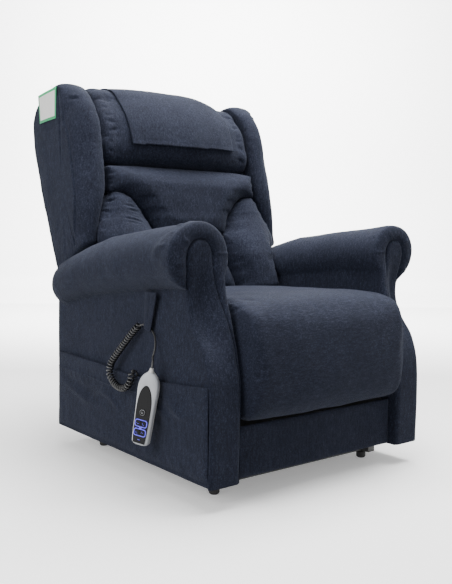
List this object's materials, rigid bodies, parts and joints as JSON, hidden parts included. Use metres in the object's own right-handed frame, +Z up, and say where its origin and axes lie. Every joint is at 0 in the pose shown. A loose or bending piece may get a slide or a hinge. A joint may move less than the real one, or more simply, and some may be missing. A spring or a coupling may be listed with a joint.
{
  "type": "lift recliner chair",
  "caption": "Powered riser recliner armchair with wing back, rolled arms, one-piece leg-rest pad, steel lift base and wired handset.",
  "frame": {"origin": "on the floor, under the middle of the chair's bounding box", "axes": "+Z up; the sitter faces -Y; +X is the sitter's left"},
  "size_m": [0.865, 0.9988, 1.1096],
  "materials": {
    "navy_cloth": "woven navy melange upholstery cloth, matte",
    "black_steel": "black powder coat, satin",
    "zinc_steel": "zinc plated rod, satin",
    "black_plastic": "black moulded plastic, fine texture",
    "dark_panel": "dark grey satin overlay",
    "silver_plastic": "silver painted plastic, satin",
    "white_plastic": "off-white moulded plastic",
    "blue_light": "translucent backlit key surround",
    "birch_ply": "birch plywood, unfinished",
    "cord_black": "black PVC lead, satin"
  },
  "bodies": {
    "base": {"base_rail_left": "black_steel", "base_rail_right": "black_steel", "base_cross_front": "black_steel", "base_cross_rear": "black_steel", "foot_front_left": "black_plastic", "foot_front_right": "black_plastic", "foot_rear_left": "black_plastic", "foot_rear_right": "black_plastic", "lift_bracket_left": "black_steel", "lift_bracket_right": "black_steel", "power_supply": "black_plastic"},
    "lift_arms": {"lift_arm_left": "black_steel", "lift_arm_right": "black_steel", "lift_crank": "black_steel"},
    "lift_motor": {"lift_motor": "black_plastic"},
    "lift_motor_rod": {"lift_motor_rod": "zinc_steel"},
    "chair": {"hanger_left": "black_steel", "hanger_right": "black_steel", "seat_rail_left": "black_steel", "seat_rail_right": "black_steel", "seat_cross_bar": "black_steel", "seat_deck": "birch_ply", "seat_cushion": "navy_cloth", "arm_left": "navy_cloth", "arm_right": "navy_cloth", "arm_facing_left": "navy_cloth", "arm_facing_right": "navy_cloth", "side_pocket": "navy_cloth", "cord_tab": "navy_cloth", "kickboard": "navy_cloth", "rear_panel": "navy_cloth", "handset_back_shell": "white_plastic", "handset_front_shell": "silver_plastic", "handset_panel": "dark_panel", "handset_cord_relief": "white_plastic", "handset_light_frame": "blue_light", "handset_cord": "cord_black", "handset_curly_cord": "cord_black"},
    "backrest": {"back_frame": "birch_ply", "back_cover": "navy_cloth", "wing_left": "navy_cloth", "wing_right": "navy_cloth", "head_cushion": "navy_cloth", "lumbar_cushion": "navy_cloth", "bolster_left": "navy_cloth", "bolster_right": "navy_cloth", "head_flap": "navy_cloth"},
    "back_motor": {"back_motor": "black_plastic"},
    "back_motor_rod": {"back_motor_rod": "zinc_steel"},
    "leg_rest": {"leg_rest_board": "birch_ply", "leg_rest_pad": "navy_cloth"},
    "leg_links_rear": {"leg_link_rear_left": "black_steel", "leg_link_rear_right": "black_steel"},
    "leg_links_front": {"leg_link_front_left": "black_steel", "leg_link_front_right": "black_steel"},
    "key_back_down": {"key_back_down": "dark_panel"},
    "key_back_up": {"key_back_up": "dark_panel"},
    "key_lift_down": {"key_lift_down": "dark_panel"},
    "key_lift_up": {"key_lift_up": "dark_panel"},
    "key_stop": {"key_stop": "dark_panel"}
  },
  "joints": [
    {"name": "chair_lift", "type": "hinge", "parent": "base", "child": "lift_arms", "pos_m": [0.00454, 0.14402, 0.1], "axis": [-1, 0, 0], "range_deg": [0, 40]},
    {"name": "chair_tilt", "type": "hinge", "parent": "lift_arms", "child": "chair", "pos_m": [0.00454, -0.25598, 0.1], "axis": [1, 0, 0], "range_deg": [0, 66.1]},
    {"name": "lift_motor_swing", "type": "hinge", "parent": "base", "child": "lift_motor", "pos_m": [0.00454, -0.34598, 0.078], "axis": [1, 0, 0], "range_deg": [-3.1, 0.01]},
    {"name": "lift_rod_swing", "type": "hinge", "parent": "lift_arms", "child": "lift_motor_rod", "pos_m": [0.00454, 0.08402, 0.25], "axis": [1, 0, 0], "range_deg": [-0.01, 37.72]},
    {"name": "backrest_recline", "type": "hinge", "parent": "chair", "child": "backrest", "pos_m": [0.00454, 0.18402, 0.4], "axis": [-1, 0, 0], "range_deg": [0, 40]},
    {"name": "back_motor_swing", "type": "hinge", "parent": "chair", "child": "back_motor", "pos_m": [0.00454, -0.20698, 0.315], "axis": [1, 0, 0], "range_deg": [-0.01, 0.87]},
    {"name": "back_rod_swing", "type": "hinge", "parent": "backrest", "child": "back_motor_rod", "pos_m": [0.00454, 0.19902, 0.318], "axis": [1, 0, 0], "range_deg": [-0.01, 41.67]},
    {"name": "footrest_raise", "type": "hinge", "parent": "chair", "child": "leg_rest", "pos_m": [0.00454, -0.51598, 0.52], "axis": [-1, 0, 0], "range_deg": [0, 82]},
    {"name": "leg_link_rear_swing", "type": "hinge", "parent": "chair", "child": "leg_links_rear", "pos_m": [0.00454, -0.22428, 0.3493], "axis": [-1, 0, 0], "range_deg": [0, 88.09]},
    {"name": "leg_link_front_swing", "type": "hinge", "parent": "leg_rest", "child": "leg_links_front", "pos_m": [0.00454, -0.37598, 0.3335], "axis": [1, 0, 0], "range_deg": [0, 83.82]},
    {"name": "key_back_down", "type": "slide", "parent": "chair", "child": "key_back_down", "axis": [0.866, 0.5, 0], "range_m": [0, 0.0009], "stiffness_N_per_m": 900},
    {"name": "key_back_up", "type": "slide", "parent": "chair", "child": "key_back_up", "axis": [0.866, 0.5, 0], "range_m": [0, 0.0009], "stiffness_N_per_m": 900},
    {"name": "key_lift_down", "type": "slide", "parent": "chair", "child": "key_lift_down", "axis": [0.866, 0.5, 0], "range_m": [0, 0.0009], "stiffness_N_per_m": 900},
    {"name": "key_lift_up", "type": "slide", "parent": "chair", "child": "key_lift_up", "axis": [0.866, 0.5, 0], "range_m": [0, 0.0009], "stiffness_N_per_m": 900},
    {"name": "key_stop", "type": "slide", "parent": "chair", "child": "key_stop", "axis": [0.866, 0.5, 0], "range_m": [0, 0.0009], "stiffness_N_per_m": 900}
  ],
  "couplings": [
    {"joint": "chair_tilt", "follows": "chair_lift", "ratio": 1.65},
    {"joint": "lift_motor_swing", "follows": "chair_lift", "ratio": -0.07587},
    {"joint": "lift_rod_swing", "follows": "chair_lift", "ratio": 0.92413},
    {"joint": "back_motor_swing", "follows": "backrest_recline", "ratio": 0.02108},
    {"joint": "back_rod_swing", "follows": "backrest_recline", "ratio": 1.0211},
    {"joint": "leg_link_rear_swing", "follows": "footrest_raise", "ratio": 1.073},
    {"joint": "leg_link_front_swing", "follows": "footrest_raise", "ratio": 1.021}
  ]
}
